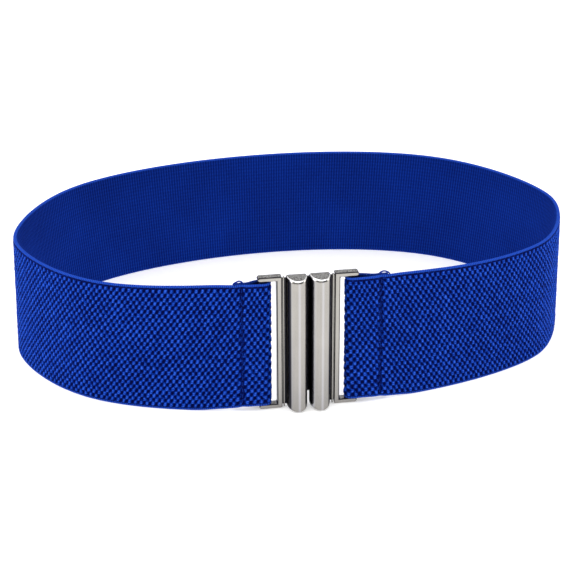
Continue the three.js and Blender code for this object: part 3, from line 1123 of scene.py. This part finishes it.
def flanks(places, normals):
    """The steep sides of the bars, and the sides and bevels of the frames up to their post, painted dark as
    a dark reflection.
    """
    away, sideways = abs(places[:, 0]), abs(normals[:, 0])
    beside_middle = (away < BAR_CENTRE_X) & (normals[:, 0] < 0)
    on_bar = np.where(beside_middle, smoothstep(sideways, *INNER_FLANK), smoothstep(sideways, *OUTER_FLANK))
    on_post = away > POST_SIDE - FRAME_BEVEL - LINK
    return np.where(on_post, smoothstep(sideways, *POST_FLANK), on_bar) * (away < POST_SIDE + CLEARANCE)


def gaps(places, normals):
    """The channel beside each bar, and what faces forward behind the bars, painted dark as shade."""
    away, depth = abs(places[:, 0]), places[:, 1]
    in_channel = (away > BAR_SIDE - LINK) & (away < FRAME_INNER_X)
    channel = in_channel & (depth > CHANNEL_FLOOR_Y) & (normals[:, 1] < 0.5)
    return channel | ((depth > BAR_DEPTH - BAR_PROUD) & facing_front(normals, 0.5) & (away < BAR_SIDE))


def rail_turns(places, normals):
    """The front edges that turn up on the rails, painted dark as a reflection of the dark room."""
    in_frame = (abs(places[:, 0]) > FRAME_INNER_X - CLEARANCE) & facing_front(normals, 0.2)
    return band(normals[:, 2], *RAIL_TURN) * in_frame


# Painted highlight, by how far across its bar a corner lies.
def gleams(places, normals):
    across = (places[:, 0] % (BAR_WIDTH + BAR_SPACE) - BAR_SPACE / 2) / BAR_WIDTH
    gleam = sum(strength * np.exp(-(((across - middle) / width) ** 2)) for middle, width, strength in GLEAMS)
    return gleam * ((abs(places[:, 0]) < BAR_SIDE) & facing_front(normals))


def painted_light_marks(places, normals):
    dark = [flanks(places, normals), gaps(places, normals), rail_turns(places, normals)]
    # A painted highlight on the bars' chamfers.
    chamfer = band(normals[:, 2], *BAR_EDGE) * (abs(places[:, 0]) < BAR_SIDE)
    return {"recess": np.max(dark, axis=0), "edge": chamfer, "gleam": gleams(places, normals)}


print("marks ready")

# %% [markdown]
# The painted marks of shade, reflection and highlight are kept on the mesh's corners, so that one vertex
# can be dark on one face and bright on the next. The bars' normals are also turned a little towards the
# front, because the photographed bars show one broad even grey, where true normals would show a narrow
# stripe under these lights.

# %% Painted marks and flatter bar normals
FLATTER = 0.55


def polished(made):
    mesh = made.data
    places = np.array([mesh.vertices[corner.vertex_index].co for corner in mesh.loops])
    normals = np.array([corner.vector for corner in mesh.corner_normals])
    for name, share in painted_light_marks(places, normals).items():
        mesh.attributes.new(name, "FLOAT", "CORNER").data.foreach_set("value", share)
    front_of_bar = (abs(places[:, 0]) < BAR_SIDE + CLEARANCE) & facing_front(normals)
    normals[:, 0] *= np.where(front_of_bar, FLATTER, 1)
    normals /= np.linalg.norm(normals, axis=1)[:, None]
    mesh.normals_split_custom_set(normals.tolist())
    return made


def mirrored(made):
    made.data.transform(Matrix.Diagonal((-1, 1, 1, 1)))
    made.data.flip_normals()
    return made


print("polish ready")

# %% [markdown]
# The buckle leans back with the elastic, about the lower back edge that it stands on. A move of every
# point does that, together with the step from millimetres to metres.

# %% Stand the castings in their place
BUCKLE_LEAN = -math.atan(TOP_LEAN * -FRONT_Y / (HALF_DEPTH * ELASTIC_WIDTH))
PIVOT_Y = FRAME_FRONT_Y + FRAME_DEPTH


def stand(made):
    to_pivot = Matrix.Translation((0, FRAME_FRONT_Y - PIVOT_Y, 0))
    lean = Matrix.Rotation(BUCKLE_LEAN, 4, "X")
    home = Matrix.Translation((ORIGIN[0], ORIGIN[1] + PIVOT_Y, ORIGIN[2]))
    made.data.transform(Matrix.Scale(MM, 4) @ home @ lean @ to_pivot)
    return made


def casting():
    return [frame_bracket(), rod(), half_round_bar(), *plate_and_rib()]


halves = {
    "left_buckle_casting": join_shells([mirrored(made) for made in casting()] + hook_parts(0)),
    "right_buckle_casting": join_shells(casting(), hook_parts(CLEARANCE)),
}
for name, made in halves.items():
    made.name = name
    stand(polished(even_shading(made)))
    made.data.name = name
    print(name, triangles(made), "triangles")

# %% [markdown]
# Bright nickel
#
# Plated castings are smooth but not perfect mirrors. The colour is a warm grey, and the roughness
# changes a little from place to place, with faint upright streaks along the bars and a fine grit on the
# faces that look up. The marks on the corners then paint in light and shade, each by one mix: painted
# highlights for the gleams and the bright chamfers, and painted shade and dark reflections in the gaps.
# The foot of the buckle is painted a little darker than the rest, as shade.

# %% Finish of the metal
FOOT_HEIGHT = 0.04
STREAK_SCALE = (900, 900, 22)
FACES_UP = (0.76, 0.86)
NICKEL_STOPS = ((0.2, (0.27, 0.259, 0.243)), (0.8, (0.41, 0.392, 0.366)))
GRIT_STOPS = ((0.4, (0.35, 0.36, 0.4)), (0.5, (1.05, 1.1, 1.2)))
FOOT_STOPS = ((0, (0.84, 0.84, 0.85)), (1, (1, 1, 1)))
PAINTED_GLEAM_COLOUR = (0.56, 0.56, 0.62, 1)
PAINTED_CHAMFER_HIGHLIGHT = (0.95, 0.95, 0.97, 1)
PAINTED_DARK_COLOUR = (0.006, 0.006, 0.01, 1)
POLISH_DEPTH = 0.000006


def nickel():
    metal = Finish("nickel_plating")
    place = metal.node("ShaderNodeTexCoord").out("Object")
    stretched = metal.node("ShaderNodeMapping", None, {"Vector": place, "Scale": STREAK_SCALE})
    streaks = metal.noise(1, 3, stretched)
    mottle = metal.noise(1500, 3, place)
    clouds = metal.noise(90, 3, place)
    shade = (streaks - 0.5) * 0.22 + (clouds - 0.5) * 0.3 + (mottle - 0.5) * 0.12 + 0.5
    facing_up = metal.parts(metal.node("ShaderNodeNewGeometry").out("Normal"))[2]
    grit = metal.ramp(metal.noise(1900, 0, place), GRIT_STOPS)
    foot = metal.ramp(metal.parts(place)[2] / FOOT_HEIGHT, FOOT_STOPS)
    bright = metal.ramp(shade, NICKEL_STOPS)
    bright = metal.mix(facing_up.between(*FACES_UP), bright, grit, "MULTIPLY")
    # Painted shade: the foot of the buckle a little darker.
    bright = metal.mix(1, bright, foot, "MULTIPLY")
    # Painted highlight: the gleam lines along the bars.
    bright = metal.mix(metal.attribute("gleam"), bright, PAINTED_GLEAM_COLOUR)
    # Painted highlight on the chamfers.
    bright = metal.mix(metal.attribute("edge") * 0.9, bright, PAINTED_CHAMFER_HIGHLIGHT)
    # Painted shade and dark reflection in the gaps, on the flanks and on the rails' turned edges.
    colour = metal.mix(metal.attribute("recess") * 0.97, bright, PAINTED_DARK_COLOUR)
    rough = mottle * 0.12 + streaks * 0.1 + clouds * 0.08 + 0.06
    height = metal.bump(mottle * 0.6 + streaks * 0.4, POLISH_DEPTH)
    return metal.surface(Base_Color=colour, Roughness=rough, Normal=height, Metallic=1.0)


METAL_FINISH = nickel()
for (name, made), node in zip(halves.items(), ("left_buckle_half", "right_buckle_half")):
    made.data.materials.clear()
    made.data.materials.append(METAL_FINISH)
    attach(made, "root")
    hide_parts(node)
print("nickel:", len(METAL_FINISH.node_tree.nodes), "nodes")

# %% [markdown]
# Floor and light
#
# The belt stands on a plain white table. The table glows a little, as one of milky glass with lamps under
# it does, so it stays white and its shadows are faint. A stronger lamp could do that too, but it would
# wash out the blue of the cloth.

# %% White table
FLOOR_SIZE = 6
TABLE_GLOW = 0.31


def white_table():
    half = FLOOR_SIZE / 2
    corners = [(-half, -half, 0), (half, -half, 0), (half, half, 0), (-half, half, 0)]
    mesh = bpy.data.meshes.new("table")
    mesh.from_pydata(corners, [], [(0, 1, 2, 3)])
    made = bpy.data.objects.new("table", mesh)
    bpy.context.scene.collection.objects.link(made)
    paper = Finish("white_table")
    made.data.materials.append(paper.surface(
        Base_Color=(0.9, 0.9, 0.9, 1), Roughness=0.9, Specular_IOR_Level=0.1,
        Emission_Color=(1, 1, 1, 1), Emission_Strength=TABLE_GLOW,
    ))
    return made


white_table()
print("table", FLOOR_SIZE, "m wide")

# %% [markdown]
# Four large panels light the belt: one above, one in front and one at each side. A large panel throws
# soft shadows, and it stands in the polished metal as a broad bright stripe.

# %% Lights
LIGHTS = (
    # name, place, width, height, power in watts
    ("panel_above", (0.0, -0.1, 1.3), 1.5, 1.5, 13),
    ("panel_front", (-0.25, -1.5, 0.85), 1.3, 0.8, 5.6),
    ("panel_right", (1.3, -0.35, 0.5), 0.9, 0.7, 9),
    ("panel_left", (-1.3, -0.35, 0.5), 0.9, 0.7, 9),
)
LIGHTS_AIM = Vector((0, 0, 0.03))


def add_light(name, place, width, height, power):
    light = bpy.data.lights.new(name, "AREA")
    light.shape = "RECTANGLE"
    light.size = width
    light.size_y = height
    light.energy = power
    made = bpy.data.objects.new(name, light)
    made.location = place
    aim = LIGHTS_AIM - Vector(place)
    made.rotation_euler = aim.to_track_quat("-Z", "Y").to_euler()
    bpy.context.scene.collection.objects.link(made)


for light in LIGHTS:
    add_light(*light)
print(len(LIGHTS), "soft lights")

# %% [markdown]
# Polished metal shows what is around it: the pale table, the bright panel above and the darker room at
# eye level. The sky is therefore dark at the horizon in front, where the camera stands, and lighter
# overhead and behind the belt. It has its own nodes, which the same method as a material's feeds.

# %% Sky
SKY_IN_FRONT = ((0.2, 0.03), (0.45, 0.6))
SKY_BEHIND = ((0.0, 0.4), (0.3, 1.0))
SKY_TINT = (1, 0.985, 0.955)
SKY_TURN = 0.3
SKY_STRENGTH = 0.85


class Sky(Finish):
    """The world's nodes, with its background ready to be fed. The world takes a material's place."""

    def __init__(self, name):
        self.material = bpy.data.worlds.new(name)
        self.material.use_nodes = True
        self.tree = self.material.node_tree
        self.shader = self.tree.nodes["Background"]

    def by_height(self, height, levels):
        stops = [(place, [level * part for part in SKY_TINT]) for place, level in levels]
        return self.ramp(height, stops)


def studio_sky():
    sky = Sky("studio")
    _, depth, height = sky.parts(sky.node("ShaderNodeTexCoord").out("Generated"))
    ends = {"Value": depth, "From Min": -SKY_TURN, "From Max": SKY_TURN}
    behind = sky.node("ShaderNodeMapRange", None, ends)
    colour = sky.mix(behind, sky.by_height(height, SKY_IN_FRONT), sky.by_height(height, SKY_BEHIND))
    return sky.surface(Color=colour, Strength=SKY_STRENGTH)


bpy.context.scene.world = studio_sky()
bpy.context.scene.view_settings.view_transform = "Standard"
print("sky:", len(bpy.context.scene.world.node_tree.nodes), "nodes")

# %% [markdown]
# The camera
#
# The photograph looks down on the belt from a little to the left of the buckle. Its angle, distance and
# lens were fitted to the edges of the loop. The belt lies slightly above and left of the frame's
# middle, which a small shift of the lens gives without turning the camera.

# %% Camera
IMAGE_SIZE = 576
SENSOR = 36
FOCAL_PIXELS = 1356
ELEVATION = math.radians(26)
AZIMUTH = math.radians(-8.73)
DISTANCE = 0.676
AIM_RIGHT_OF_BUCKLE = 0.5
AIM_BEHIND_FACE = 83.3
AIM_PIXEL_FROM_MIDDLE = (-5.8, -19.6)

aim = Vector((
    ORIGIN[0] + AIM_RIGHT_OF_BUCKLE,
    ORIGIN[1] + FRONT_Y - ELASTIC_THICKNESS / 2 + AIM_BEHIND_FACE,
    ELASTIC_WIDTH / 2,
)) * MM
back = Vector((
    math.sin(AZIMUTH) * math.cos(ELEVATION), -math.cos(AZIMUTH) * math.cos(ELEVATION), math.sin(ELEVATION),
))
camera = bpy.data.objects.new("camera", bpy.data.cameras.new("camera"))
camera.data.sensor_width = SENSOR
camera.data.lens = FOCAL_PIXELS / IMAGE_SIZE * SENSOR
camera.data.shift_x = -AIM_PIXEL_FROM_MIDDLE[0] / IMAGE_SIZE
camera.data.shift_y = AIM_PIXEL_FROM_MIDDLE[1] / IMAGE_SIZE
camera.location = aim + back * DISTANCE
camera.rotation_euler = (-back).to_track_quat("-Z", "Y").to_euler()
bpy.context.scene.collection.objects.link(camera)
bpy.context.scene.camera = camera
print("camera at", [round(value, 3) for value in camera.location], "lens", round(camera.data.lens, 1))
